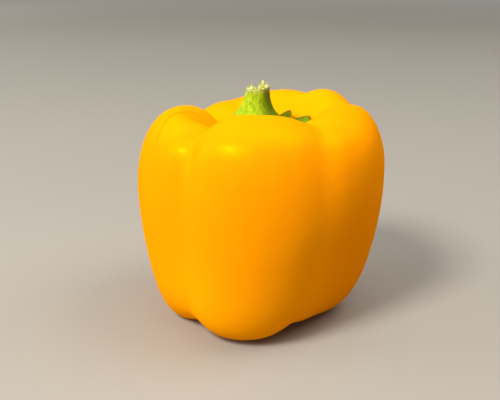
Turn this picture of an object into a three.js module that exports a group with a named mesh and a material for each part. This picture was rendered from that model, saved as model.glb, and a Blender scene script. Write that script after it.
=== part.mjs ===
// A large yellow bell pepper, picked with a short stump of its stem and standing on its feet.
// It has three grown pieces: the lobed fruit, the calyx that caps the hollow between the
// fruit's shoulders, and the stem. Millimetres, +Z up. The origin is on the surface that the
// pepper stands on, below the middle of the whole pepper.
import * as THREE from 'three';

// ---- Driving dimensions ----

// The fruit's lobes. Azimuths are in degrees from +X, counter-clockwise seen from above.
//   crestAzimuth, footAzimuth   where the lobe's shoulder and its foot lie
//   sideRadius, widestHeight    how far it stands out from the axis, and how high up
//   crestRadius, crestHeight    the top of its shoulder
//   footRadius, footHeight      the lowest line of its underside
//   shoulderPower, basePower    roundness above and below: 2 is elliptical, more is squarer
const LOBES = {
  front: {
    crestAzimuth: -87, footAzimuth: -100, sideRadius: 52, widestHeight: 53, crestRadius: 28,
    crestHeight: 83.3, footRadius: 27.5, footHeight: -1.1, shoulderPower: 2.5, basePower: 2,
  },
  right: {
    crestAzimuth: -11.5, footAzimuth: -12, sideRadius: 45.5, widestHeight: 61, crestRadius: 29,
    crestHeight: 81, footRadius: 15.5, footHeight: 0.4, shoulderPower: 2.4, basePower: 2,
  },
  backRight: {
    crestAzimuth: 37, footAzimuth: 31, sideRadius: 45, widestHeight: 56, crestRadius: 36,
    crestHeight: 85.5, footRadius: 37, footHeight: 0, shoulderPower: 2.2, basePower: 2.4,
  },
  back: {
    crestAzimuth: 82, footAzimuth: 80, sideRadius: 44.5, widestHeight: 57, crestRadius: 30,
    crestHeight: 80, footRadius: 28, footHeight: -0.9, shoulderPower: 2.3, basePower: 2.1,
  },
  backLeft: {
    crestAzimuth: 144, footAzimuth: 132, sideRadius: 48, widestHeight: 50, crestRadius: 26,
    crestHeight: 83, footRadius: 28, footHeight: 0, shoulderPower: 1.9, basePower: 1.9,
  },
  left: {
    crestAzimuth: 185.5, footAzimuth: 184.5, sideRadius: 45.5, widestHeight: 50, crestRadius: 32,
    crestHeight: 78, footRadius: 28, footHeight: -0.4, shoulderPower: 2, basePower: 1.8,
  },
};
// How sharply one lobe's dimensions give way to the next lobe's around the fruit.
const LOBE_SHARPNESS = 5;

// The furrows between the lobes: azimuth, half width in degrees and depth at the shoulder's
// crest, on the wall and at the foot. innerShare is the share of the crest's depth that is left
// halfway down into the hollow.
const FURROWS = {
  frontLeft: {
    crestAzimuth: -126.5, wallAzimuth: -125.5, footAzimuth: -133, crestWidth: 7, wallWidth: 17,
    crestDepth: 6, innerShare: 0.6, wallDepth: 5.2, footDepth: 4.1,
  },
  frontRight: {
    crestAzimuth: -53, wallAzimuth: -60.5, footAzimuth: -68, crestWidth: 10.5, wallWidth: 17.5,
    crestDepth: 4.6, innerShare: 0.6, wallDepth: 4.9, footDepth: 4.8,
  },
  rightBack: {
    crestAzimuth: 18, wallAzimuth: 25, footAzimuth: 18, crestWidth: 10.5, wallWidth: 9,
    crestDepth: 6.4, innerShare: 0.6, wallDepth: 1.3, footDepth: 2.2,
  },
  backMiddle: {
    crestAzimuth: 56, wallAzimuth: 57, footAzimuth: 58, crestWidth: 8.5, wallWidth: 11,
    crestDepth: 3.3, innerShare: 0.6, wallDepth: 1, footDepth: 1.5,
  },
  backLeft: {
    crestAzimuth: 110, wallAzimuth: 109, footAzimuth: 108, crestWidth: 17, wallWidth: 17,
    crestDepth: 4, innerShare: 0.6, wallDepth: 0.9, footDepth: 1.5,
  },
  leftBack: {
    crestAzimuth: 138, wallAzimuth: 135, footAzimuth: 140, crestWidth: 12, wallWidth: 13,
    crestDepth: 11, innerShare: 0.75, wallDepth: 2.3, footDepth: 2,
  },
};
// Roundness of a furrow's bottom, as a share of its half width.
const FURROW_ROUNDNESS = 0.45;
// Halfway from the widest line to the crest, a furrow has this share of its change in depth.
const UPPER_WALL_SHARE = 0.3;
// Furrows widen towards the two middles, where they run together.
const WIDER_BELOW = 1.6;
const WIDER_IN_HOLLOW = 1.4;
// Furrows press the skin towards a ring at this radius and height inside the fruit.
const CORE_RADIUS = 10;
const CORE_HEIGHT = 44;

// Broad swellings (negative depth) and dents in the wall: azimuth and half width in degrees,
// place and half height in stations along the meridian, as skinPoint counts them, and depth.
const DENTS = [
  { azimuth: -40, station: 1.67, halfWidth: 28.5, halfHeight: 0.16, depth: 1.4 },
  { azimuth: -10, station: 1.62, halfWidth: 17, halfHeight: 0.42, depth: -2.3 },
  { azimuth: -126.5, station: 2.52, halfWidth: 20, halfHeight: 0.15, depth: -1.7 },
  { azimuth: -133, station: 2.38, halfWidth: 6, halfHeight: 0.24, depth: -1.2 },
  { azimuth: -104, station: 1.73, halfWidth: 8.5, halfHeight: 0.18, depth: 0.6 },
  { azimuth: -51.5, station: 2.61, halfWidth: 6, halfHeight: 0.3, depth: -1.4 },
  { azimuth: -29, station: 2.39, halfWidth: 10, halfHeight: 0.28, depth: -1.4 },
  { azimuth: -67.5, station: 2.39, halfWidth: 13, halfHeight: 0.18, depth: 0.5 },
  { azimuth: -48.5, station: 1.94, halfWidth: 21, halfHeight: 0.11, depth: -0.6 },
  { azimuth: -20.5, station: 1.33, halfWidth: 14, halfHeight: 0.21, depth: -0.8 },
  { azimuth: -157, station: 1.39, halfWidth: 6, halfHeight: 0.47, depth: -1.3 },
  { azimuth: -123, station: 1.38, halfWidth: 29.5, halfHeight: 0.15, depth: -1.8 },
];

// The dimple below, the hollow above, and how far the feet are flattened by standing.
const DIMPLE_HEIGHT = 9;
const HOLLOW_FLOOR_RADIUS = 8;
const HOLLOW_FLOOR_HEIGHT = 67;
const FOOT_FLATTENING = 0.4;

// The calyx: a cap with pointed teeth that lies in the hollow and rises to a hub for the stem.
// Each tooth has its azimuth, the reach of its tip from the axis, and the tip's lift off the
// skin.
const CALYX_TEETH = [
  { azimuth: 22, reach: 22.4, lift: 0.5 },
  { azimuth: 51, reach: 18.4, lift: 3.7 },
  { azimuth: 92, reach: 16.5, lift: 0.6 },
  { azimuth: 150, reach: 16, lift: 0.6 },
  { azimuth: 208, reach: 15.5, lift: 0.5 },
  { azimuth: 266, reach: 17.5, lift: 0.8 },
  { azimuth: 325, reach: 18, lift: 1 },
];
const CALYX_NOTCH_RADIUS = 15;
const CALYX_TOOTH_POWER = 1.5;
const CALYX_NOTCH_LIFT_SHARE = 1.1;
const CALYX_LIFT_POWER = 2;
const CALYX_HUB_RADIUS = 9;
const CALYX_HUB_HEIGHT = 75;
const CALYX_RIM_THICKNESS = 1.4;
const CALYX_HUB_FALL = 2;
const SKIN_GAP = 0.6;

// The stem: height above its foot and radius, from the flared foot to the torn end.
const STEM_PROFILE = [
  { height: 0, radius: 9.2 },
  { height: 1.1, radius: 8.4 },
  { height: 2.8, radius: 7 },
  { height: 4.6, radius: 5.9 },
  { height: 7, radius: 5 },
  { height: 9, radius: 4.6 },
  { height: 11.5, radius: 4.35 },
];
const STEM_FOOT_GAP = 0.3;
const STEM_CENTRE = { x: -0.7, y: 0 };
const STEM_LEAN = 0.03;
const STEM_RIBS = 5;
const STEM_RIB_DEPTH = 0.2;
// The torn end stands up in fibrous peaks around its rim, which start near the end and leave it
// dished. Each power says how sharply.
const TORN_PEAKS = [
  { azimuth: 150, halfWidth: 26, height: 1.6 },
  { azimuth: 62, halfWidth: 24, height: 3 },
  { azimuth: -8, halfWidth: 22, height: 1.2 },
];
const TORN_DIP = 0.8;
const TORN_START_POWER = 6;
const TORN_DISH_POWER = 2;

// Mesh divisions.
const FRUIT_SEGMENTS = 84;
const FRUIT_RINGS = { below: 7, lowerWall: 13, upperWall: 13, hollow: 11 };
const CALYX_SEGMENTS = 84;
const CALYX_RINGS = 8;
// The share of the calyx's rings that lies within its hub.
const HUB_SHARE = 0.375;
const STEM_SEGMENTS = 30;
const STEM_RINGS = 14;
const STEM_END_RINGS = 3;

// ---- Helpers ----

const TAU = 2 * Math.PI;
const radians = THREE.MathUtils.degToRad;

// The shortest signed turn from one azimuth to another, in radians.
function turnBetween(from, to) {
  return Math.atan2(Math.sin(to - from), Math.cos(to - from));
}

// Eases from each value to the next between the knots.
function easeThrough(knots, values, x) {
  let i = 0;
  while (i < knots.length - 2 && x > knots[i + 1]) {
    i += 1;
  }
  const t = THREE.MathUtils.clamp((x - knots[i]) / (knots[i + 1] - knots[i]), 0, 1);
  return THREE.MathUtils.lerp(values[i], values[i + 1], t * t * (3 - 2 * t));
}

// A closed skin over rings of points. It runs from a bottom pole outwards and up to a top pole,
// with each ring's points counter-clockwise seen from above.
function closedSkin(bottomPole, rings, topPole) {
  const count = rings[0].length;
  const positions = [bottomPole, ...rings.flat(), topPole].flatMap((p) => [p.x, p.y, p.z]);
  const indices = [];
  const at = (ring, segment) => 1 + ring * count + (segment % count);
  const top = 1 + rings.length * count;
  for (let s = 0; s < count; s += 1) {
    indices.push(0, at(0, s + 1), at(0, s));
    for (let ring = 0; ring < rings.length - 1; ring += 1) {
      indices.push(at(ring, s), at(ring, s + 1), at(ring + 1, s + 1));
      indices.push(at(ring, s), at(ring + 1, s + 1), at(ring + 1, s));
    }
    indices.push(at(rings.length - 1, s), at(rings.length - 1, s + 1), top);
  }
  const geometry = new THREE.BufferGeometry();
  geometry.setAttribute('position', new THREE.Float32BufferAttribute(positions, 3));
  geometry.setIndex(indices);
  geometry.computeVertexNormals();
  return geometry;
}

function ringOf(count, pointAt) {
  return Array.from({ length: count }, (_, s) => pointAt((s / count) * TAU));
}

// ---- Fruit ----

// One of the lobes' dimensions at any azimuth, blended between neighbouring lobes.
function lobeValue(azimuth, key, azimuthKey) {
  let total = 0;
  let weights = 0;
  for (const lobe of Object.values(LOBES)) {
    const near = Math.cos(azimuth - radians(lobe[azimuthKey])) - 1;
    const weight = Math.exp(LOBE_SHARPNESS * near);
    total += weight * lobe[key];
    weights += weight;
  }
  return total / weights;
}

// The fruit's outline at an azimuth before its furrows, as radius and height. The station runs
// 0 centre below, 1 foot, 2 widest, 3 crest of the shoulder, 4 centre of the hollow.
function outlineAt(azimuth, station) {
  const crestRadius = lobeValue(azimuth, 'crestRadius', 'crestAzimuth');
  const crestHeight = lobeValue(azimuth, 'crestHeight', 'crestAzimuth');
  const footRadius = lobeValue(azimuth, 'footRadius', 'footAzimuth');
  const footHeight = lobeValue(azimuth, 'footHeight', 'footAzimuth');
  if (station <= 1) {
    const rise = 0.5 * (1 + Math.cos(Math.PI * station));
    return { r: footRadius * station, z: footHeight + (DIMPLE_HEIGHT - footHeight) * rise };
  }
  if (station >= 3) {
    const r = crestRadius * (4 - station);
    const inward = (crestRadius - r) / (crestRadius - HOLLOW_FLOOR_RADIUS);
    const fall = 0.5 * (1 - Math.cos(Math.PI * Math.min(inward, 1)));
    return { r, z: crestHeight - (crestHeight - HOLLOW_FLOOR_HEIGHT) * fall };
  }
  const sideRadius = lobeValue(azimuth, 'sideRadius', 'crestAzimuth');
  const widestHeight = lobeValue(azimuth, 'widestHeight', 'crestAzimuth');
  if (station <= 2) {
    const turn = (station - 1) * Math.PI / 2;
    const power = 2 / lobeValue(azimuth, 'basePower', 'footAzimuth');
    const out = Math.sin(turn) ** power;
    const up = 1 - Math.cos(turn) ** power;
    return {
      r: footRadius + (sideRadius - footRadius) * out,
      z: footHeight + (widestHeight - footHeight) * up,
    };
  }
  const turn = (station - 2) * Math.PI / 2;
  const power = 2 / lobeValue(azimuth, 'shoulderPower', 'crestAzimuth');
  const out = Math.cos(turn) ** power;
  const up = Math.sin(turn) ** power;
  return {
    r: crestRadius + (sideRadius - crestRadius) * out,
    z: widestHeight + (crestHeight - widestHeight) * up,
  };
}

// How deep one furrow presses the skin in.
function furrowDepth(furrow, azimuth, station) {
  const { crestWidth, wallWidth, crestDepth, wallDepth, footDepth } = furrow;
  const middle = easeThrough(
    [1, 2, 3],
    [furrow.footAzimuth, furrow.wallAzimuth, furrow.crestAzimuth],
    station,
  );
  const footWidth = 0.5 * (crestWidth + wallWidth);
  const width = easeThrough(
    [0, 1, 2, 3, 4],
    [crestWidth * WIDER_BELOW, footWidth, wallWidth, crestWidth, crestWidth * WIDER_IN_HOLLOW],
    station,
  );
  const upperDepth = wallDepth + UPPER_WALL_SHARE * (crestDepth - wallDepth);
  const deepest = easeThrough(
    [0, 1, 2, 2.5, 3, 3.5, 4],
    [0, footDepth, wallDepth, upperDepth, crestDepth, crestDepth * furrow.innerShare, 0],
    station,
  );
  const across = turnBetween(radians(middle), azimuth) / radians(width);
  return deepest * Math.exp(FURROW_ROUNDNESS - Math.hypot(across, FURROW_ROUNDNESS));
}

function dentDepth(dent, azimuth, station) {
  const across = turnBetween(radians(dent.azimuth), azimuth) / radians(dent.halfWidth);
  const along = (station - dent.station) / dent.halfHeight;
  return dent.depth * Math.exp(-0.5 * (across ** 2 + along ** 2));
}

// A point of the fruit's skin: the outline, pressed by furrows and dents towards the core ring.
function skinPoint(azimuth, station) {
  const outline = outlineAt(azimuth, station);
  let depth = 0;
  for (const furrow of Object.values(FURROWS)) {
    depth += furrowDepth(furrow, azimuth, station);
  }
  for (const dent of DENTS) {
    depth += dentDepth(dent, azimuth, station);
  }
  const outwards = new THREE.Vector2(
    outline.r - Math.min(outline.r / 2, CORE_RADIUS),
    outline.z - CORE_HEIGHT,
  ).normalize();
  const r = Math.max(outline.r - outwards.x * depth, 0);
  const z = outline.z - outwards.y * depth - FOOT_FLATTENING;
  return new THREE.Vector3(r * Math.cos(azimuth), r * Math.sin(azimuth), Math.max(z, 0));
}

// Stations for the rings, evenly spread over each stretch, without the two poles.
function fruitStations() {
  const stations = [];
  Object.values(FRUIT_RINGS).forEach((count, stretch) => {
    for (let i = 1; i <= count; i += 1) {
      stations.push(stretch + i / count);
    }
  });
  return stations.slice(0, -1);
}

function fruitGeometry() {
  const ringAt = (station) => ringOf(FRUIT_SEGMENTS, (a) => skinPoint(a, station));
  const rings = fruitStations().map(ringAt);
  return closedSkin(skinPoint(0, 0), rings, skinPoint(0, 4));
}

// ---- Calyx ----

// The fruit's skin in the hollow at a distance from the axis.
function hollowSkin(azimuth, radius) {
  const crestRadius = lobeValue(azimuth, 'crestRadius', 'crestAzimuth');
  return skinPoint(azimuth, 4 - radius / crestRadius);
}

// The calyx's rim at an azimuth: its radius and its lift off the skin. Both ease from one tooth
// to the next, and fall away into the notch between them.
function rimAt(azimuth) {
  const after = (tooth) => (azimuth - radians(tooth.azimuth) + 2 * TAU) % TAU;
  const teeth = CALYX_TEETH.toSorted((a, b) => after(a) - after(b));
  const right = teeth[0];
  const left = teeth[teeth.length - 1];
  const across = after(right) / (after(right) + TAU - after(left));
  const tooth = 1 - (2 * Math.min(across, 1 - across)) ** CALYX_TOOTH_POWER;
  const reach = easeThrough([0, 1], [right.reach, left.reach], across);
  const lift = easeThrough([0, 1], [right.lift, left.lift], across);
  return {
    radius: THREE.MathUtils.lerp(CALYX_NOTCH_RADIUS, reach, tooth),
    lift: lift * THREE.MathUtils.lerp(CALYX_NOTCH_LIFT_SHARE, 1, tooth),
  };
}

// A point of the calyx. Its share runs from 0 in the middle over HUB_SHARE at the hub's edge to
// 1 at the toothed rim.
function calyxPoint(azimuth, share, isTop) {
  const rim = rimAt(azimuth);
  const outward = Math.max((share - HUB_SHARE) / (1 - HUB_SHARE), 0);
  const radius = share < HUB_SHARE
    ? CALYX_HUB_RADIUS * share / HUB_SHARE
    : CALYX_HUB_RADIUS + (rim.radius - CALYX_HUB_RADIUS) * outward;
  const point = hollowSkin(azimuth, radius);
  const under = point.z + SKIN_GAP + rim.lift * outward ** CALYX_LIFT_POWER;
  const rimTop = under + CALYX_RIM_THICKNESS;
  const hub = (1 - outward) ** CALYX_HUB_FALL;
  return point.setZ(isTop ? rimTop + (CALYX_HUB_HEIGHT - rimTop) * hub : under);
}

function calyxGeometry() {
  const shares = Array.from({ length: CALYX_RINGS }, (_, i) => (i + 1) / CALYX_RINGS);
  const ringAt = (share, isTop) => ringOf(CALYX_SEGMENTS, (a) => calyxPoint(a, share, isTop));
  const under = shares.map((share) => ringAt(share, false));
  const over = shares.toReversed().map((share) => ringAt(share, true));
  return closedSkin(calyxPoint(0, 0, false), [...under, ...over], calyxPoint(0, 0, true));
}

// ---- Stem ----

const STEM_LENGTH = STEM_PROFILE[STEM_PROFILE.length - 1].height;
const STEM_CURVE = new THREE.CatmullRomCurve3(
  STEM_PROFILE.map((p) => new THREE.Vector3(p.radius, 0, p.height)),
);

// How far the torn end stands above the stem's length at an azimuth of its rim.
function tornHeight(azimuth) {
  return TORN_PEAKS.reduce((height, peak) => {
    const across = turnBetween(radians(peak.azimuth), azimuth) / radians(peak.halfWidth);
    return height + peak.height * Math.exp(-0.5 * across ** 2);
  }, 0);
}

// A point on the stem's skin, by its share of the stem's length.
function stemPoint(azimuth, share) {
  const { x: bareRadius, z: height } = STEM_CURVE.getPoint(share);
  const r = bareRadius + STEM_RIB_DEPTH * Math.cos(STEM_RIBS * azimuth);
  return new THREE.Vector3(
    STEM_CENTRE.x + STEM_LEAN * height + r * Math.cos(azimuth),
    STEM_CENTRE.y + r * Math.sin(azimuth),
    CALYX_HUB_HEIGHT + STEM_FOOT_GAP + height + tornHeight(azimuth) * share ** TORN_START_POWER,
  );
}

// A point of the torn end, by its share of the rim's radius.
function tornEndPoint(azimuth, share) {
  const rim = stemPoint(azimuth, 1);
  const middle = new THREE.Vector3(
    STEM_CENTRE.x + STEM_LEAN * STEM_LENGTH,
    STEM_CENTRE.y,
    CALYX_HUB_HEIGHT + STEM_FOOT_GAP + STEM_LENGTH - TORN_DIP,
  );
  const point = middle.clone().lerp(rim, share);
  return point.setZ(middle.z + (rim.z - middle.z) * share ** TORN_DISH_POWER);
}

function stemGeometry() {
  const side = Array.from({ length: STEM_RINGS }, (_, i) => i / (STEM_RINGS - 1));
  const end = Array.from({ length: STEM_END_RINGS }, (_, i) => 1 - (i + 1) / (STEM_END_RINGS + 1));
  const rings = [
    ...side.map((share) => ringOf(STEM_SEGMENTS, (a) => stemPoint(a, share))),
    ...end.map((share) => ringOf(STEM_SEGMENTS, (a) => tornEndPoint(a, share))),
  ];
  const foot = new THREE.Vector3(STEM_CENTRE.x, STEM_CENTRE.y, CALYX_HUB_HEIGHT + STEM_FOOT_GAP);
  return closedSkin(foot, rings, tornEndPoint(0, 0));
}

// ---- Assembly ----

function piece(name, geometry, material) {
  const mesh = new THREE.Mesh(geometry, new THREE.MeshStandardMaterial(material));
  mesh.name = name;
  return mesh;
}

const group = new THREE.Group();
group.add(
  piece('fruit', fruitGeometry(), { color: 0xf7a600, roughness: 0.32, metalness: 0 }),
  piece('calyx', calyxGeometry(), { color: 0x5d8a1c, roughness: 0.6, metalness: 0 }),
  piece('stem', stemGeometry(), { color: 0x9bb531, roughness: 0.65, metalness: 0 }),
);

// The origin goes below the middle of the whole pepper; the feet already stand at height 0.
const middle = new THREE.Box3().setFromObject(group).getCenter(new THREE.Vector3());
group.position.set(-middle.x, -middle.y, 0);

export default group;
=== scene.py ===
import math

import bpy
import numpy as np
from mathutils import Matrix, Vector


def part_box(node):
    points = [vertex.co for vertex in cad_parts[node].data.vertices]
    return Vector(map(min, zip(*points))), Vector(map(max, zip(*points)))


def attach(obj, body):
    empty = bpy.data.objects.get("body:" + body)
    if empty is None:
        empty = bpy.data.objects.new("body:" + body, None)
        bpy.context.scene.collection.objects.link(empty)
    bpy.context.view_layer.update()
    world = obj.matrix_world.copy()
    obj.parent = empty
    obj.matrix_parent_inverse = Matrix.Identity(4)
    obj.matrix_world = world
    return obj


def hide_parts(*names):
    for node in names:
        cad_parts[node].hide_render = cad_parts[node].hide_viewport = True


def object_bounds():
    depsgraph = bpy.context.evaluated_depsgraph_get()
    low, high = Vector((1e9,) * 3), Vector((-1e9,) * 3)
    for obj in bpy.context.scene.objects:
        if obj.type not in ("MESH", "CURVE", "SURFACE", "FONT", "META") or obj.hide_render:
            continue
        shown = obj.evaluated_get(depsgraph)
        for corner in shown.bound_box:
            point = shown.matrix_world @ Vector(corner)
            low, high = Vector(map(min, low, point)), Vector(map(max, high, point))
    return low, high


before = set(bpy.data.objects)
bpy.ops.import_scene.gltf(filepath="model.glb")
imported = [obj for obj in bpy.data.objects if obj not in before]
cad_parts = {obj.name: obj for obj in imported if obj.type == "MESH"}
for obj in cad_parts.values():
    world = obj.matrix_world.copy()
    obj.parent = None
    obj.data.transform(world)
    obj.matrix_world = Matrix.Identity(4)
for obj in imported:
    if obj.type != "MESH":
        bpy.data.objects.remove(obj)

CAD_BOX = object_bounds()
MM = 0.001
TAU = 2 * math.pi

# ---- The fruit's form ----

# The lobes, with azimuths in degrees from +X, counter-clockwise seen from above:
#   crest_azimuth, foot_azimuth     where the lobe's shoulder and its foot lie
#   side_radius, widest_height      how far it stands out from the axis, and how high up
#   crest_radius, crest_height      the top of its shoulder
#   foot_radius, foot_height        the lowest line of its underside
#   shoulder_power, base_power      roundness above and below: 2 is elliptical, more is squarer
LOBES = {
    "front": dict(
        crest_azimuth=-87, foot_azimuth=-100, side_radius=52, widest_height=53,
        crest_radius=28, crest_height=83.3, foot_radius=27.5, foot_height=-1.1,
        shoulder_power=2.5, base_power=2,
    ),
    "right": dict(
        crest_azimuth=-11.5, foot_azimuth=-12, side_radius=45.5, widest_height=61,
        crest_radius=29, crest_height=81, foot_radius=15.5, foot_height=0.4,
        shoulder_power=2.4, base_power=2,
    ),
    "back_right": dict(
        crest_azimuth=37, foot_azimuth=31, side_radius=45, widest_height=56,
        crest_radius=36, crest_height=85.5, foot_radius=37, foot_height=0,
        shoulder_power=2.2, base_power=2.4,
    ),
    "back": dict(
        crest_azimuth=82, foot_azimuth=80, side_radius=44.5, widest_height=57,
        crest_radius=30, crest_height=80, foot_radius=28, foot_height=-0.9,
        shoulder_power=2.3, base_power=2.1,
    ),
    "back_left": dict(
        crest_azimuth=144, foot_azimuth=132, side_radius=48, widest_height=50,
        crest_radius=26, crest_height=83, foot_radius=28, foot_height=0,
        shoulder_power=1.9, base_power=1.9,
    ),
    "left": dict(
        crest_azimuth=185.5, foot_azimuth=184.5, side_radius=45.5, widest_height=50,
        crest_radius=32, crest_height=78, foot_radius=28, foot_height=-0.4,
        shoulder_power=2, base_power=1.8,
    ),
}
LOBE_SHARPNESS = 5

# The furrows between the lobes: azimuth and half width in degrees, and depth, at the crest of
# the shoulder, on the wall and at the foot. inner_share of the crest's depth is left halfway
# down into the hollow.
FURROWS = {
    "front_left": dict(
        crest_azimuth=-126.5, wall_azimuth=-125.5, foot_azimuth=-133, crest_width=7, wall_width=17,
        crest_depth=6, inner_share=0.6, wall_depth=5.2, foot_depth=4.1,
    ),
    "front_right": dict(
        crest_azimuth=-53, wall_azimuth=-60.5, foot_azimuth=-68, crest_width=10.5, wall_width=17.5,
        crest_depth=4.6, inner_share=0.6, wall_depth=4.9, foot_depth=4.8,
    ),
    "right_back": dict(
        crest_azimuth=18, wall_azimuth=25, foot_azimuth=18, crest_width=10.5, wall_width=9,
        crest_depth=6.4, inner_share=0.6, wall_depth=1.3, foot_depth=2.2,
    ),
    "back_middle": dict(
        crest_azimuth=56, wall_azimuth=57, foot_azimuth=58, crest_width=8.5, wall_width=11,
        crest_depth=3.3, inner_share=0.6, wall_depth=1, foot_depth=1.5,
    ),
    "back_left": dict(
        crest_azimuth=110, wall_azimuth=109, foot_azimuth=108, crest_width=17, wall_width=17,
        crest_depth=4, inner_share=0.6, wall_depth=0.9, foot_depth=1.5,
    ),
    "left_back": dict(
        crest_azimuth=138, wall_azimuth=135, foot_azimuth=140, crest_width=12, wall_width=13,
        crest_depth=11, inner_share=0.75, wall_depth=2.3, foot_depth=2,
    ),
}
FURROW_ROUNDNESS = 0.45
UPPER_WALL_SHARE = 0.3
WIDER_BELOW = 1.6
WIDER_IN_HOLLOW = 1.4
CORE_RADIUS = 10
CORE_HEIGHT = 44

# Broad dents, and swellings with a negative depth: azimuth and half width in degrees, place and
# half height in stations along the meridian, as outline_at counts them, and depth.
DENTS = [
    dict(azimuth=-40, station=1.67, half_width=28.5, half_height=0.16, depth=1.4),
    dict(azimuth=-10, station=1.62, half_width=17, half_height=0.42, depth=-2.3),
    dict(azimuth=-126.5, station=2.52, half_width=20, half_height=0.15, depth=-1.7),
    dict(azimuth=-133, station=2.38, half_width=6, half_height=0.24, depth=-1.2),
    dict(azimuth=-104, station=1.73, half_width=8.5, half_height=0.18, depth=0.6),
    dict(azimuth=-51.5, station=2.61, half_width=6, half_height=0.3, depth=-1.4),
    dict(azimuth=-29, station=2.39, half_width=10, half_height=0.28, depth=-1.4),
    dict(azimuth=-67.5, station=2.39, half_width=13, half_height=0.18, depth=0.5),
    dict(azimuth=-48.5, station=1.94, half_width=21, half_height=0.11, depth=-0.6),
    dict(azimuth=-20.5, station=1.33, half_width=14, half_height=0.21, depth=-0.8),
    dict(azimuth=-157, station=1.39, half_width=6, half_height=0.47, depth=-1.3),
    dict(azimuth=-123, station=1.38, half_width=29.5, half_height=0.15, depth=-1.8),
    dict(azimuth=-132, station=2.5, half_width=3.6, half_height=0.18, depth=-0.7),
    dict(azimuth=-122.4, station=2.47, half_width=3, half_height=0.1, depth=1.2),
]

DIMPLE_HEIGHT = 9
HOLLOW_FLOOR_RADIUS = 8
HOLLOW_FLOOR_HEIGHT = 67
FOOT_FLATTENING = 0.4

# A fine crease that runs over the left lobe's shoulder, as azimuth and station, with its depth
# and half width. It fades over this share of its length at each end, and its line is worked out
# in this many steps.
CREASE_PATH = [
    (-152, 2.2), (-151.2, 2.35), (-150.8, 2.42), (-150.2, 2.5), (-151.8, 2.59),
    (-154.5, 2.67), (-158, 2.77), (-162.2, 2.88), (-168.5, 3), (-174.5, 3.09), (-181, 3.14),
    (-185.2, 3.2), (-188, 3.26), (-192.8, 3.31), (-197, 3.34),
]
CREASE_DEPTH = 0.24
CREASE_HALF_WIDTH = 0.7
CREASE_FADE = 0.3
CREASE_STEPS = 300

# Faint waves in the skin: the height, scale and seed of each layer. They grow over one station
# above the foot, and fade over part of a station on the way down into the hollow.
SKIN_WAVES = [(0.1, 14, 1), (0.03, 5, 2)]
WAVES_START = 1
WAVES_END = 3.6
WAVES_FADE = 0.5

# Patches of painted shade and painted light: azimuth and half width in degrees, station and half
# height.
# Painted shade, low on the right lobe: a darker, more orange patch.
PAINTED_SHADE_PATCH = dict(azimuth=-31, station=1.64, half_width=20, half_height=0.25)
# Painted light, low on the front left: a paler patch.
PAINTED_LIGHT_PATCH = dict(azimuth=-126, station=1.45, half_width=26, half_height=0.22)

FRUIT_SEGMENTS = 340
# The fruit's segments crowd together at this azimuth, and by this share, for the crease.
CROWDED_AZIMUTH = -165
CROWDING = 0.4
FRUIT_RINGS = dict(below=40, lower_wall=84, upper_wall=96, hollow=62)

# ---- The calyx's form ----

# The teeth: azimuth, the reach of the tip from the axis, the tip's lift off the skin, and how
# much further the notch after it rises.
TEETH = [
    (22, 22.4, 0.15, 2.3), (51, 18.4, 3.7, 0.6), (86, 16, -0.2, 0.1), (150, 16, 0.6, 0.2),
    (208, 15.5, 0.5, 0.2), (266, 17.5, 0.8, 0.3), (325, 18, 1, 0.3),
]
NOTCH_RADIUS = 15
TOOTH_POWER = 1.5
LIFT_POWER = 2
HUB_RADIUS = 9
HUB_HEIGHT = 75
RIM_THICKNESS = 1.4
EDGE_THINNING = 0.55
EDGE_THINNING_POWER = 4
HUB_FALL = 2
SEAM_OVERLAP = 0.35
VEIN_HEIGHT = 0.35
VEIN_WIDTH = 0.12
# Lumps on the calyx: the height, scale and seed of each layer. They grow over this share of its
# radius outside the hub.
CALYX_ROUGHNESS = [(0.14, 2.2, 3), (0.06, 0.8, 4)]
CALYX_ROUGH_WITHIN = 0.25
SKIN_GAP = 0.6
CALYX_SEGMENTS = 280
CALYX_RINGS = 64
HUB_SHARE = 0.375

# ---- The stem's form ----

STEM_PROFILE = [
    (0, 9.2), (1.1, 8.4), (2.7, 7), (4.5, 5.9), (6.8, 5), (8.8, 4.6), (11.2, 4.35),
]
STEM_FOOT_GAP = 0.3
STEM_CENTRE = (-0.7, 0)
STEM_LEAN = 0.065
STEM_RIBS = 5
STEM_RIB_DEPTH = 0.2
STEM_SWAY = -0.8
# Peaks of the torn rim, and gaps with a negative height: azimuth, half width and height.
TORN_PEAKS = [
    (62, 15, 0.7), (63, 6, 0.8), (125, 8, 0.8), (-8, 22, 0.7), (185, 34, -2), (100, 16, -1),
]
TORN_DIP = 1.3
TORN_START_POWER = 6
TORN_DISH_POWER = 2
# Fibres stand up around the torn rim: their height, and for each layer its share of that height,
# its width beside the stem's radius, and its seed.
FIBRE_HEIGHT = 0.9
FIBRE_LAYERS = [(1, 0.25, 9), (0.5, 0.25 / 3, 10)]
FIBRE_SHARPNESS = 5
# The stem's streaks and warts, and the pith's lumps: height, scale and seed of each layer. They
# grow over these shares of the way up the side, and of the way in from the rim.
STEM_ROUGHNESS = [(0.12, 1.5, 5), (0.09, 0.6, 6)]
STEM_ROUGH_WITHIN = 0.125
PITH_ROUGHNESS = [(0.5, 0.9, 7), (0.3, 0.4, 8)]
PITH_ROUGH_WITHIN = 0.2
STREAK_STRETCH = (1, 1, 0.25)
# The pith's tone begins just below the torn rim: the higher the power, the closer to it.
TORN_TONE_POWER = 16
# Painted shade: one side of the stem is coloured a darker green.
PAINTED_SHADE_AZIMUTH = -25
PAINTED_SHADE_HALF_WIDTH = 32
# The flare at the stem's foot is a deeper green up to about this height.
FLARE_HEIGHT = 2.6
STEM_SEGMENTS = 280
STEM_RINGS = 170
STEM_END_RINGS = 50


# ---- Shape helpers ----

def turn_between(start, end):
    """The shortest signed turn from one azimuth to another, in radians."""
    turn = end - start
    return np.arctan2(np.sin(turn), np.cos(turn))


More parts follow.
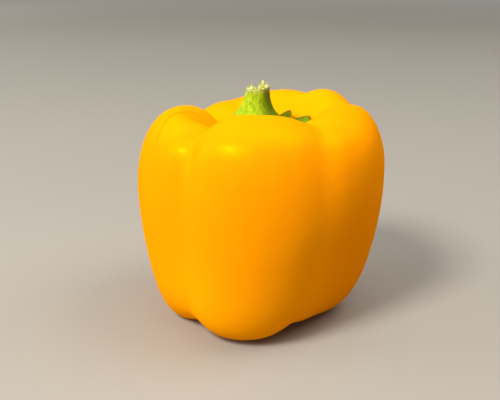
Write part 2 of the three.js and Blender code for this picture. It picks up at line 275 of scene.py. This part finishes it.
def ease_through(knots, values, x):
    """Eases from each value to the next between the knots."""
    knots = np.asarray(knots, float)
    values = np.asarray(values, float)
    i = np.clip(np.searchsorted(knots, x, side="right") - 1, 0, len(knots) - 2)
    t = np.clip((x - knots[i]) / (knots[i + 1] - knots[i]), 0, 1)
    return values[i] + (values[i + 1] - values[i]) * t * t * (3 - 2 * t)


def closed_mesh(name, bottom, rings, top, attributes):
    """A closed, smooth mesh over rings of points, (ring, segment, xyz) in millimetres, with a
    point below and one above. Each attribute has a value for the bottom, the rings and the top."""
    ring_count, count = rings.shape[:2]
    points = np.concatenate([bottom.reshape(1, 3), rings.reshape(-1, 3), top.reshape(1, 3)])
    at = 1 + np.arange(ring_count * count).reshape(ring_count, count)
    after = np.roll(at, -1, axis=1)
    quads = np.stack([at[:-1], after[:-1], after[1:], at[1:]], -1).reshape(-1, 4)
    last = len(points) - 1
    below = np.stack([np.zeros(count, int), after[0], at[0]], -1)
    above = np.stack([at[-1], after[-1], np.full(count, last)], -1)
    mesh = bpy.data.meshes.new(name)
    mesh.from_pydata((points * MM).tolist(), [], below.tolist() + quads.tolist() + above.tolist())
    mesh.shade_smooth()
    for key, (value_below, values, value_above) in attributes.items():
        layer = mesh.attributes.new(key, "FLOAT", "POINT")
        every = np.concatenate([[value_below], np.ravel(values), [value_above]])
        layer.data.foreach_set("value", every.astype(np.float32))
    piece = bpy.data.objects.new(name, mesh)
    bpy.context.scene.collection.objects.link(piece)
    return piece


def azimuths_around(count):
    """Evenly spread azimuths for one ring, as a row."""
    return np.linspace(0, TAU, count, endpoint=False)[None, :]


def outward_at(azimuth):
    """Level unit vectors that point outward at azimuths."""
    return np.stack([np.cos(azimuth), np.sin(azimuth), 0 * azimuth], -1)


def bell(offset):
    """From 1 at no offset to 0 a few units away."""
    return np.exp(-0.5 * offset ** 2)


NOISE_PERIOD = 32


def value_noise(points, scale, seed):
    """Smooth noise between -1 and 1 at points of any shape (..., 3), with features of a size. It
    repeats after NOISE_PERIOD features."""
    lattice = np.random.default_rng(seed).uniform(-1, 1, (NOISE_PERIOD,) * 3)
    place = points / scale
    cell = np.floor(place).astype(int)
    t = place - cell
    t = t * t * (3 - 2 * t)
    total = 0
    for corner in np.ndindex(2, 2, 2):
        index = (cell + corner) % NOISE_PERIOD
        weight = np.prod(np.where(np.array(corner) == 1, t, 1 - t), axis=-1)
        total = total + weight * lattice[index[..., 0], index[..., 1], index[..., 2]]
    return total


def rough_relief(points, layers):
    """Relief from layers of noise, each with its height, scale and seed."""
    return sum(height * value_noise(points, scale, seed) for height, scale, seed in layers)


# ---- Fruit ----

def lobe_value(azimuth, key, azimuth_key):
    """One of the lobes' dimensions at any azimuth, blended between neighbouring lobes."""
    total = 0
    weights = 0
    for lobe in LOBES.values():
        near = np.cos(azimuth - math.radians(lobe[azimuth_key])) - 1
        weight = np.exp(LOBE_SHARPNESS * near)
        total = total + weight * lobe[key]
        weights = weights + weight
    return total / weights


def outline_at(azimuth, station):
    """Radius and height of the skin before its furrows. The station runs 0 centre below, 1 foot,
    2 widest, 3 crest of the shoulder, 4 centre of the hollow."""
    crest_radius = lobe_value(azimuth, "crest_radius", "crest_azimuth")
    crest_height = lobe_value(azimuth, "crest_height", "crest_azimuth")
    side_radius = lobe_value(azimuth, "side_radius", "crest_azimuth")
    widest_height = lobe_value(azimuth, "widest_height", "crest_azimuth")
    foot_radius = lobe_value(azimuth, "foot_radius", "foot_azimuth")
    foot_height = lobe_value(azimuth, "foot_height", "foot_azimuth")
    base_power = 2 / lobe_value(azimuth, "base_power", "foot_azimuth")
    shoulder_power = 2 / lobe_value(azimuth, "shoulder_power", "crest_azimuth")

    below = np.minimum(station, 1)
    below_r = foot_radius * below
    below_z = foot_height + (DIMPLE_HEIGHT - foot_height) * 0.5 * (1 + np.cos(np.pi * below))

    turn = np.clip(station - 1, 0, 1) * np.pi / 2
    lower_r = foot_radius + (side_radius - foot_radius) * np.sin(turn) ** base_power
    lower_z = foot_height + (widest_height - foot_height) * (1 - np.cos(turn) ** base_power)

    turn = np.clip(station - 2, 0, 1) * np.pi / 2
    upper_r = crest_radius + (side_radius - crest_radius) * np.cos(turn) ** shoulder_power
    upper_z = widest_height + (crest_height - widest_height) * np.sin(turn) ** shoulder_power

    hollow_r = crest_radius * (4 - np.maximum(station, 3))
    inward = np.minimum((crest_radius - hollow_r) / (crest_radius - HOLLOW_FLOOR_RADIUS), 1)
    fall = 0.5 * (1 - np.cos(np.pi * inward))
    hollow_z = crest_height - (crest_height - HOLLOW_FLOOR_HEIGHT) * fall

    everywhere = np.ones(np.broadcast(azimuth, station).shape, bool)
    stretches = [everywhere & stretch for stretch in (station <= 1, station <= 2, station < 3)]
    r = np.select(stretches, [below_r, lower_r, upper_r], hollow_r)
    z = np.select(stretches, [below_z, lower_z, upper_z], hollow_z)
    return r, z


def furrow_depth(furrow, azimuth, station):
    """How deep one furrow presses the skin in."""
    crest_width, wall_width = furrow["crest_width"], furrow["wall_width"]
    crest_depth, wall_depth = furrow["crest_depth"], furrow["wall_depth"]
    azimuths = [furrow["foot_azimuth"], furrow["wall_azimuth"], furrow["crest_azimuth"]]
    middle = ease_through([1, 2, 3], azimuths, station)
    widths = [
        crest_width * WIDER_BELOW, (crest_width + wall_width) / 2, wall_width, crest_width,
        crest_width * WIDER_IN_HOLLOW,
    ]
    width = ease_through([0, 1, 2, 3, 4], widths, station)
    depths = [
        0, furrow["foot_depth"], wall_depth,
        wall_depth + UPPER_WALL_SHARE * (crest_depth - wall_depth), crest_depth,
        crest_depth * furrow["inner_share"], 0,
    ]
    deepest = ease_through([0, 1, 2, 2.5, 3, 3.5, 4], depths, station)
    across = turn_between(np.radians(middle), azimuth) / np.radians(width)
    return deepest * np.exp(FURROW_ROUNDNESS - np.hypot(across, FURROW_ROUNDNESS))


def patch_share(patch, azimuth, station):
    """From 1 in the middle of a dent or of a patch of another tone to 0 around it."""
    turn = turn_between(math.radians(patch["azimuth"]), azimuth)
    along = (station - patch["station"]) / patch["half_height"]
    return bell(np.hypot(turn / math.radians(patch["half_width"]), along))


def skin_point(azimuth, station, fine_depth=0):
    """Points of the skin: the outline, pressed by furrows and dents towards the core ring."""
    r, z = outline_at(azimuth, station)
    depth = fine_depth
    for furrow in FURROWS.values():
        depth = depth + furrow_depth(furrow, azimuth, station)
    for dent in DENTS:
        depth = depth + dent["depth"] * patch_share(dent, azimuth, station)
    out_r = r - np.minimum(r / 2, CORE_RADIUS)
    out_z = z - CORE_HEIGHT
    length = np.hypot(out_r, out_z)
    r = np.maximum(r - out_r / length * depth, 0)
    z = np.maximum(z - out_z / length * depth - FOOT_FLATTENING, 0)
    return np.stack([r * np.cos(azimuth), r * np.sin(azimuth), z], -1)


def crease_share(points):
    """Share of the fine crease's depth at points of the skin."""
    knots = np.arange(len(CREASE_PATH))
    steps = np.linspace(0, len(CREASE_PATH) - 1, CREASE_STEPS)
    azimuths = np.radians(np.interp(steps, knots, [p[0] for p in CREASE_PATH]))
    stations = np.interp(steps, knots, [p[1] for p in CREASE_PATH])
    path = skin_point(azimuths, stations)
    along = steps / steps[-1]
    fades = np.clip(np.minimum(along, 1 - along) / CREASE_FADE, 0, 1)
    share = np.zeros(points.shape[:-1])
    for place, fade in zip(path, fades):
        distance = np.linalg.norm(points - place, axis=-1)
        share = np.maximum(share, fade * np.exp(-(distance / CREASE_HALF_WIDTH) ** 2))
    return share


def fruit_stations():
    """Stations for the rings, evenly spread over each stretch, without the two poles."""
    stretches = [
        stretch + np.arange(1, count + 1) / count
        for stretch, count in enumerate(FRUIT_RINGS.values())
    ]
    return np.concatenate(stretches)[:-1]


def make_fruit():
    even = azimuths_around(FRUIT_SEGMENTS)
    azimuth = even - CROWDING * np.sin(even - math.radians(CROWDED_AZIMUTH))
    station = fruit_stations()[:, None]
    smooth = skin_point(azimuth, station)
    crease = crease_share(smooth)
    growing = np.clip(station - WAVES_START, 0, 1)
    fading = np.clip((WAVES_END - station) / WAVES_FADE, 0, 1)
    waves = rough_relief(smooth, SKIN_WAVES) * growing * fading
    rings = skin_point(azimuth, station, CREASE_DEPTH * crease + waves)
    bottom = skin_point(np.array(0.0), np.array(0.0))
    top = skin_point(np.array(0.0), np.array(4.0))
    stations = np.broadcast_to(station, rings.shape[:2])
    attributes = {
        "station": (0, stations, 4),
        "crease": (0, crease, 0),
        # Painted shade, low on the right lobe.
        "painted_shade": (0, patch_share(PAINTED_SHADE_PATCH, azimuth, station), 0),
        # Painted light, low on the front left.
        "painted_light": (0, patch_share(PAINTED_LIGHT_PATCH, azimuth, station), 0),
    }
    return closed_mesh("pepper_skin", bottom, rings, top, attributes)


# ---- Calyx ----

def hollow_skin(azimuth, radius):
    """Points of the hollow's skin at a radius from the axis."""
    crest_radius = lobe_value(azimuth, "crest_radius", "crest_azimuth")
    return skin_point(azimuth, 4 - radius / crest_radius)


def rim_at(azimuth):
    """The rim's radius, its lift off the skin, and 1 at a tooth's tip to 0 in a notch."""
    tips, reaches, lifts, rises = np.array(TEETH, float).T
    after = (azimuth[..., None] - np.radians(tips)) % TAU
    right, left = after.argmin(-1), after.argmax(-1)
    across = after.min(-1) / (after.min(-1) + TAU - after.max(-1))
    ease = across * across * (3 - 2 * across)
    tooth = 1 - (2 * np.minimum(across, 1 - across)) ** TOOTH_POWER
    reach = reaches[right] + (reaches[left] - reaches[right]) * ease
    lift = lifts[right] + (lifts[left] - lifts[right]) * ease
    radius = NOTCH_RADIUS + (reach - NOTCH_RADIUS) * tooth
    return radius, lift + rises[right] * (1 - tooth), tooth


def calyx_point(azimuth, share, is_top):
    """Points of the calyx's upper or under side, at a share of the way from the middle to the
    rim. HUB_SHARE of the way lies in the hub."""
    rim, lift, tooth = rim_at(azimuth)
    outward = np.maximum((share - HUB_SHARE) / (1 - HUB_SHARE), 0)
    within = HUB_RADIUS * share / HUB_SHARE
    radius = np.where(share < HUB_SHARE, within, HUB_RADIUS + (rim - HUB_RADIUS) * outward)
    point = hollow_skin(azimuth, radius)
    under = point[..., 2] + SKIN_GAP + lift * outward ** LIFT_POWER
    vein = VEIN_HEIGHT * np.exp(-((1 - tooth) / VEIN_WIDTH) ** 2) * np.sin(np.pi * outward)
    rim_top = under + RIM_THICKNESS * (1 - EDGE_THINNING * outward ** EDGE_THINNING_POWER) + vein
    hub = (1 - outward) ** HUB_FALL
    hub_top = HUB_HEIGHT + SEAM_OVERLAP
    point[..., 2] = rim_top + (hub_top - rim_top) * hub if is_top else under
    return point


def make_calyx():
    azimuth = azimuths_around(CALYX_SEGMENTS)
    share = (np.arange(CALYX_RINGS) + 1)[:, None] / CALYX_RINGS
    under = calyx_point(azimuth, share, False)
    over = calyx_point(azimuth, share, True)[::-1]
    inward = share[::-1]
    outside_hub = np.clip((inward - HUB_SHARE) / CALYX_ROUGH_WITHIN, 0, 1) * (inward < 1)
    over[..., 2] += rough_relief(over, CALYX_ROUGHNESS) * outside_hub
    rings = np.concatenate([under, over])
    shares = np.concatenate([share, inward])
    middle = np.zeros(())
    bottom = calyx_point(middle, middle, False)
    top = calyx_point(middle, middle, True)
    attributes = {"rim": (0, np.broadcast_to(shares, rings.shape[:2]), 0)}
    return closed_mesh("pepper_calyx", bottom, rings, top, attributes)


# ---- Stem ----

STEM_LENGTH = STEM_PROFILE[-1][0]


def stem_radius(height):
    """A smooth curve through the stem's profile."""
    heights, radii = np.array(STEM_PROFILE, float).T
    slopes = np.gradient(radii, heights)
    i = np.clip(np.searchsorted(heights, height, side="right") - 1, 0, len(heights) - 2)
    step = heights[i + 1] - heights[i]
    t = (height - heights[i]) / step
    return (
        radii[i] * (1 + 2 * t) * (1 - t) ** 2 + slopes[i] * step * t * (1 - t) ** 2
        + radii[i + 1] * t * t * (3 - 2 * t) + slopes[i + 1] * step * t * t * (t - 1)
    )


def torn_height(azimuth):
    """How high the torn rim stands over the stem's length: broad peaks and fine fibres."""
    peaks = sum(
        height * bell(turn_between(math.radians(middle), azimuth) / math.radians(half_width))
        for middle, half_width, height in TORN_PEAKS
    )
    fibres = sum(
        share * (1 - np.abs(value_noise(outward_at(azimuth), width, seed))) ** FIBRE_SHARPNESS
        for share, width, seed in FIBRE_LAYERS
    )
    return peaks + FIBRE_HEIGHT * fibres


def stem_middle(height):
    """Where the stem's middle line lies along X at a height above its foot."""
    return STEM_CENTRE[0] + STEM_LEAN * height + STEM_SWAY * (1 - np.exp(-height))


def stem_point(azimuth, share):
    """Points of the stem's side, at a share of its length."""
    height = share * STEM_LENGTH
    r = stem_radius(height) + STEM_RIB_DEPTH * np.cos(STEM_RIBS * azimuth)
    x = stem_middle(height) + r * np.cos(azimuth)
    y = STEM_CENTRE[1] + r * np.sin(azimuth)
    z = HUB_HEIGHT + STEM_FOOT_GAP + height + torn_height(azimuth) * share ** TORN_START_POWER
    return np.stack([x, y, z + 0 * x], -1)


def torn_end_point(azimuth, share):
    """Points of the dished torn end, at a share of the way from its middle to the rim."""
    rim = stem_point(azimuth, np.ones(()))
    middle = np.array([
        stem_middle(STEM_LENGTH),
        STEM_CENTRE[1],
        HUB_HEIGHT + STEM_FOOT_GAP + STEM_LENGTH - TORN_DIP,
    ])
    point = middle + (rim - middle) * share[..., None]
    point[..., 2] = middle[2] + (rim[..., 2] - middle[2]) * share ** TORN_DISH_POWER
    return point


def make_stem():
    azimuth = azimuths_around(STEM_SEGMENTS)
    side = np.linspace(0, 1, STEM_RINGS)[:, None]
    end = 1 - (np.arange(STEM_END_RINGS)[:, None] + 1) / (STEM_END_RINGS + 1)
    bark = stem_point(azimuth, side)
    above_foot = np.clip(side / STEM_ROUGH_WITHIN, 0, 1)
    relief = rough_relief(bark * STREAK_STRETCH, STEM_ROUGHNESS) * above_foot
    bark += relief[..., None] * outward_at(azimuth)
    pith = torn_end_point(azimuth, end)
    inside_rim = np.clip((1 - end) / PITH_ROUGH_WITHIN, 0, 1)
    pith[..., 2] += rough_relief(pith, PITH_ROUGHNESS) * inside_rim
    rings = np.concatenate([bark, pith])

    torn = np.concatenate([side ** TORN_TONE_POWER, np.ones_like(end)])
    # Painted shade: a darker green on one side of the stem.
    from_painted_shade = turn_between(math.radians(PAINTED_SHADE_AZIMUTH), azimuth)
    painted_shade_side = bell(from_painted_shade / math.radians(PAINTED_SHADE_HALF_WIDTH))
    flare = np.exp(-((rings[..., 2] - HUB_HEIGHT) / FLARE_HEIGHT) ** 2)
    foot = np.array([*STEM_CENTRE, HUB_HEIGHT + STEM_FOOT_GAP])
    top = torn_end_point(np.zeros(()), np.zeros(()))
    attributes = {
        "torn": (0, np.broadcast_to(torn, rings.shape[:2]), 1),
        "painted_shade_side": (0, np.broadcast_to(painted_shade_side, rings.shape[:2]), 0),
        "flare": (1, flare, 0),
    }
    return closed_mesh("pepper_stem", foot, rings, top, attributes)


# ---- Materials ----

# Base colours, as linear red, green and blue.
SKIN_TONES = {
    "wall": (0.98, 0.315, 0.001),
    # partly the skin's own tone, partly painted light on the tops
    "shoulder": (0.98, 0.385, 0.001),
    "mottle": (0.95, 0.28, 0.001),
    # painted shade
    "painted_shade": (0.85, 0.235, 0.001),
    # painted light
    "painted_light": (0.99, 0.385, 0.001),
    # painted shade along the crease
    "crease": (0.93, 0.23, 0.001),
    "gloss": (1, 0.7, 0.02),
}
CALYX_TONES = {
    "dark": (0.08, 0.165, 0.001),
    "light": (0.19, 0.32, 0.004),
    "dark_hub": (0.26, 0.36, 0.006),
    "light_hub": (0.36, 0.46, 0.015),
    "edge": (0.20, 0.12, 0.006),
}
STEM_TONES = {
    "dark_streak": (0.24, 0.39, 0.002),
    "light_streak": (0.43, 0.56, 0.006),
    "wart": (0.57, 0.63, 0.05),
    "spot": (0.17, 0.27, 0.003),
    "flare": (0.17, 0.34, 0.003),
    # painted shade on one side of the stem
    "painted_shade_side": (0.08, 0.14, 0.001),
    "dark_pith": (0.22, 0.29, 0.03),
    "light_pith": (0.68, 0.60, 0.24),
}
GRAIN_STRETCH = (1, 1, 0.5)
FLOOR_TONES = {
    "dark": (0.33, 0.31, 0.27),
    "light": (0.35, 0.33, 0.288),
    "far": (0.86, 0.86, 0.86),
}
# Between these distances the floor pales.
FLOOR_PALES_OVER_MM = (900, 2200)


class Nodes:
    """A small builder for one material's nodes."""

    def __init__(self, name):
        self.material = bpy.data.materials.new(name)
        self.material.use_nodes = True
        self.tree = self.material.node_tree
        self.shader = self.tree.nodes["Principled BSDF"]

    def add(self, kind, inputs=(), **settings):
        node = self.tree.nodes.new(kind)
        for key, value in settings.items():
            setattr(node, key, value)
        for key, value in dict(inputs).items():
            self.set(node.inputs[key], value)
        return node

    def set(self, socket, value):
        if isinstance(value, bpy.types.NodeSocket):
            self.tree.links.new(value, socket)
        else:
            socket.default_value = value

    def position(self, stretch=(1, 1, 1)):
        """The place on the object in millimetres, stretched."""
        place = self.add("ShaderNodeTexCoord").outputs["Object"]
        per_mm = [s / MM for s in stretch]
        return self.add("ShaderNodeMapping", {"Vector": place, "Scale": per_mm}).outputs["Vector"]

    def attribute(self, name):
        return self.add("ShaderNodeAttribute", attribute_name=name).outputs["Fac"]

    def noise(self, place, scale, detail):
        """Noise about 0.5 with features of about 1 / scale millimetres."""
        inputs = {"Vector": place, "Scale": scale, "Detail": detail}
        return self.add("ShaderNodeTexNoise", inputs).outputs["Fac"]

    def spread(self, value, low, high, to_low=0, to_high=1):
        """Eases from one value to another while the input goes from low to high."""
        inputs = {
            "Value": value, "From Min": low, "From Max": high,
            "To Min": to_low, "To Max": to_high,
        }
        node = self.add("ShaderNodeMapRange", inputs, interpolation_type="SMOOTHSTEP")
        return node.outputs["Result"]

    def mottle(self, place, scale, detail, low, high):
        """Soft-edged patches, from 0 to 1, of about 1 / scale millimetres."""
        return self.spread(self.noise(place, scale, detail), low, high)

    def maths(self, operation, first, second):
        return self.add("ShaderNodeMath", {0: first, 1: second}, operation=operation).outputs[0]

    def mix(self, share, first, second):
        node = self.add("ShaderNodeMix", data_type="RGBA")
        self.set(node.inputs["Factor"], share)
        self.set(node.inputs["A"], colour(first))
        self.set(node.inputs["B"], colour(second))
        return node.outputs["Result"]

    def tint(self, base, tone, share, strength):
        """A base colour, turned towards a tone by a share of the strength."""
        return self.mix(self.maths("MULTIPLY", share, strength), base, tone)

    def bump(self, height, strength, distance_mm):
        inputs = {"Height": height, "Strength": strength, "Distance": distance_mm * MM}
        return self.add("ShaderNodeBump", inputs).outputs["Normal"]

    def finish(self, **inputs):
        """The material, with inputs of its shader set or linked."""
        for key, value in inputs.items():
            self.set(self.shader.inputs[key.replace("_", " ")], value)
        return self.material


def colour(value):
    return value if isinstance(value, bpy.types.NodeSocket) else (*value, 1)


def skin_material():
    """A waxy yellow, lighter on the shoulders, partly in its own tone and partly as painted light
    on the tops, with patches of painted light and shade and painted shade along the crease. Its
    gloss is tinted, because the highlights on such a skin stay yellow."""
    n = Nodes("waxy_yellow_skin")
    place = n.position()
    uneven = n.maths("MULTIPLY", n.noise(place, scale=0.05, detail=3), 0.5)
    height = n.maths("ADD", n.attribute("station"), uneven)
    # Lighter towards the shoulders: partly the skin's own tone, partly painted light on the tops.
    shoulders_tone_and_painted_light = n.spread(height, 2.5, 3.5)
    base = n.mix(shoulders_tone_and_painted_light, SKIN_TONES["wall"], SKIN_TONES["shoulder"])
    mottle = n.mottle(place, scale=0.13, detail=4, low=0.35, high=0.65)
    base = n.tint(base, SKIN_TONES["mottle"], mottle, strength=0.2)
    # Painted shade: a darker, more orange patch low on the right lobe.
    base = n.tint(base, SKIN_TONES["painted_shade"], n.attribute("painted_shade"), strength=0.85)
    # Painted light: a paler patch low on the front left.
    base = n.tint(base, SKIN_TONES["painted_light"], n.attribute("painted_light"), strength=0.85)
    # Painted shade: the crease's line is darkened over its groove.
    base = n.tint(base, SKIN_TONES["crease"], n.attribute("crease"), strength=0.6)
    roughness = n.spread(n.noise(place, scale=0.4, detail=3), 0.3, 0.7, to_low=0.36, to_high=0.42)
    normal = n.bump(n.noise(place, scale=1.6, detail=2), strength=0.12, distance_mm=0.05)
    return n.finish(
        Base_Color=base, Roughness=roughness, Normal=normal, IOR=1.45,
        Specular_IOR_Level=0.0, Specular_Tint=(*SKIN_TONES["gloss"], 1), Metallic=0.08,
    )


def calyx_material():
    """A dull green, lighter on the hub and brownish at the rim."""
    n = Nodes("green_calyx")
    place = n.position()
    share = n.attribute("rim")
    mottle = n.mottle(place, scale=0.6, detail=4, low=0.3, high=0.7)
    green = n.mix(mottle, CALYX_TONES["dark"], CALYX_TONES["light"])
    hub = n.mix(mottle, CALYX_TONES["dark_hub"], CALYX_TONES["light_hub"])
    base = n.mix(n.spread(share, 0.3, 0.62), hub, green)
    base = n.tint(base, CALYX_TONES["edge"], n.spread(share, 0.9, 1.0), strength=0.8)
    normal = n.bump(n.noise(place, scale=2.0, detail=4), strength=0.5, distance_mm=0.15)
    return n.finish(Base_Color=base, Roughness=0.6, Normal=normal, Specular_IOR_Level=0.03)


def stem_material():
    """A pale green with streaks and warts, darker at the foot, with painted shade on one side, and
    cream at the torn end."""
    n = Nodes("pale_green_stem")
    place = n.position()
    streaks = n.mottle(n.position(STREAK_STRETCH), scale=0.9, detail=4, low=0.35, high=0.65)
    green = n.mix(streaks, STEM_TONES["dark_streak"], STEM_TONES["light_streak"])
    warts = n.mottle(place, scale=2.2, detail=3, low=0.54, high=0.64)
    green = n.tint(green, STEM_TONES["wart"], warts, strength=0.7)
    spots = n.mottle(place, scale=1.1, detail=3, low=0.56, high=0.7)
    green = n.tint(green, STEM_TONES["spot"], spots, strength=0.5)
    green = n.tint(green, STEM_TONES["flare"], n.attribute("flare"), strength=0.85)
    # Painted shade: one side of the stem turned towards a dark green.
    green = n.tint(green, STEM_TONES["painted_shade_side"], n.attribute("painted_shade_side"), strength=0.95)
    lumps = n.mottle(place, scale=1.4, detail=3, low=0.42, high=0.6)
    pith = n.mix(lumps, STEM_TONES["dark_pith"], STEM_TONES["light_pith"])
    base = n.mix(n.attribute("torn"), green, pith)
    grain = n.noise(n.position(GRAIN_STRETCH), scale=2.2, detail=4)
    normal = n.bump(grain, strength=0.6, distance_mm=0.2)
    return n.finish(Base_Color=base, Roughness=0.6, Normal=normal, Specular_IOR_Level=0.06)


def floor_material():
    """A plain floor that pales with distance, so that it meets the background softly."""
    n = Nodes("pale_floor")
    tone = n.noise(n.position(), scale=0.004, detail=2)
    base = n.mix(tone, FLOOR_TONES["dark"], FLOOR_TONES["light"])
    distance = n.add("ShaderNodeVectorMath", {0: n.position()}, operation="LENGTH")
    far = n.spread(distance.outputs["Value"], *FLOOR_PALES_OVER_MM)
    base = n.mix(far, base, FLOOR_TONES["far"])
    return n.finish(Base_Color=base, Roughness=0.75)


# ---- Setting the pieces in the frame ----

def middle_of(box):
    low, high = box
    return (Vector(low) + Vector(high)) / 2


def own_points(piece):
    """The places of a piece's vertices, in metres."""
    points = np.empty(len(piece.data.vertices) * 3)
    piece.data.vertices.foreach_get("co", points)
    return points.reshape(-1, 3)


def fruit_axis(fruit):
    """Where the fruit's own axis meets the floor: a fruit made about the origin, moved by this,
    has its box's middle over that of its solid."""
    points = own_points(fruit)
    axis = middle_of(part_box("fruit")) - middle_of((points.min(0), points.max(0)))
    axis.z = 0
    return axis


def dress(piece, node, material, axis):
    """Sets a piece where its solid is, in its mesh and within the solid's box, gives it its
    material and hides the solid."""
    low, high = np.array([list(corner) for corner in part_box(node)])
    points = np.clip(own_points(piece) + np.array(axis), low, high)
    piece.data.vertices.foreach_set("co", points.ravel())
    piece.data.update()
    piece.data.materials.append(material)
    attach(piece, "root")
    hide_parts(node)


# ---- Floor, lights and camera ----

FLOOR_SIZE = 12.0
# Each light is a disk that faces the pepper's middle, this far away: azimuth, elevation, the
# disk's diameter, power and colour.
LIGHT_DISTANCE = 1.3
LIGHTS = {
    "key": (-128, 46, 0.38, 18.2, (1.0, 0.97, 0.92)),
    "left": (180, 20, 0.9, 6.8, (1.0, 0.97, 0.93)),
    "low_left": (-135, 20, 0.9, 1.6, (1.0, 0.97, 0.93)),
    "top": (0, 82, 1.2, 4.3, (1.0, 0.98, 0.95)),
    "right": (0, 55, 0.9, 7.1, (1.0, 0.98, 0.95)),
    "back": (125, 20, 0.9, 1.2, (1.0, 0.97, 0.93)),
}
WORLD_COLOUR = (1.0, 0.97, 0.93)
WORLD_STRENGTH = 0.25

# The camera's place from the foot of the fruit's axis, and its turns down and to the left.
CAMERA_LENS = 59.7
CAMERA_OFFSET = (0, -0.300, 0.1442)
CAMERA_TURN_DOWN = 18.59
CAMERA_TURN_LEFT = 0.65
CAMERA_NEAREST = 0.01


def add_floor():
    half = FLOOR_SIZE / 2
    mesh = bpy.data.meshes.new("floor")
    corners = [(-half, -half, 0), (half, -half, 0), (half, half, 0), (-half, half, 0)]
    mesh.from_pydata(corners, [], [(0, 1, 2, 3)])
    mesh.materials.append(floor_material())
    floor = bpy.data.objects.new("floor", mesh)
    bpy.context.scene.collection.objects.link(floor)


def add_light(name, target, azimuth, elevation, size, power, tint):
    data = bpy.data.lights.new(name, "AREA")
    data.shape = "DISK"
    data.size = size
    data.energy = power
    data.color = tint
    lamp = bpy.data.objects.new(name, data)
    azimuth, elevation = math.radians(azimuth), math.radians(elevation)
    direction = Vector((
        math.cos(elevation) * math.cos(azimuth),
        math.cos(elevation) * math.sin(azimuth),
        math.sin(elevation),
    ))
    lamp.location = target + direction * LIGHT_DISTANCE
    lamp.rotation_euler = direction.to_track_quat("Z", "Y").to_euler()
    bpy.context.scene.collection.objects.link(lamp)


def add_world():
    world = bpy.data.worlds.new("studio")
    world.use_nodes = True
    background = world.node_tree.nodes["Background"]
    background.inputs["Color"].default_value = (*WORLD_COLOUR, 1)
    background.inputs["Strength"].default_value = WORLD_STRENGTH
    bpy.context.scene.world = world


def add_camera(foot):
    data = bpy.data.cameras.new("camera")
    data.lens = CAMERA_LENS
    data.clip_start = CAMERA_NEAREST
    camera = bpy.data.objects.new("camera", data)
    camera.location = foot + Vector(CAMERA_OFFSET)
    turns = (90 - CAMERA_TURN_DOWN, 0, CAMERA_TURN_LEFT)
    camera.rotation_euler = [math.radians(turn) for turn in turns]
    bpy.context.scene.collection.objects.link(camera)
    bpy.context.scene.camera = camera


fruit = make_fruit()
pepper_axis = fruit_axis(fruit)
dress(fruit, "fruit", skin_material(), pepper_axis)
dress(make_calyx(), "calyx", calyx_material(), pepper_axis)
dress(make_stem(), "stem", stem_material(), pepper_axis)

add_floor()
add_world()
for light_name, light in LIGHTS.items():
    add_light(light_name, middle_of(CAD_BOX), *light)
add_camera(pepper_axis)
bpy.context.scene.view_settings.view_transform = "Standard"
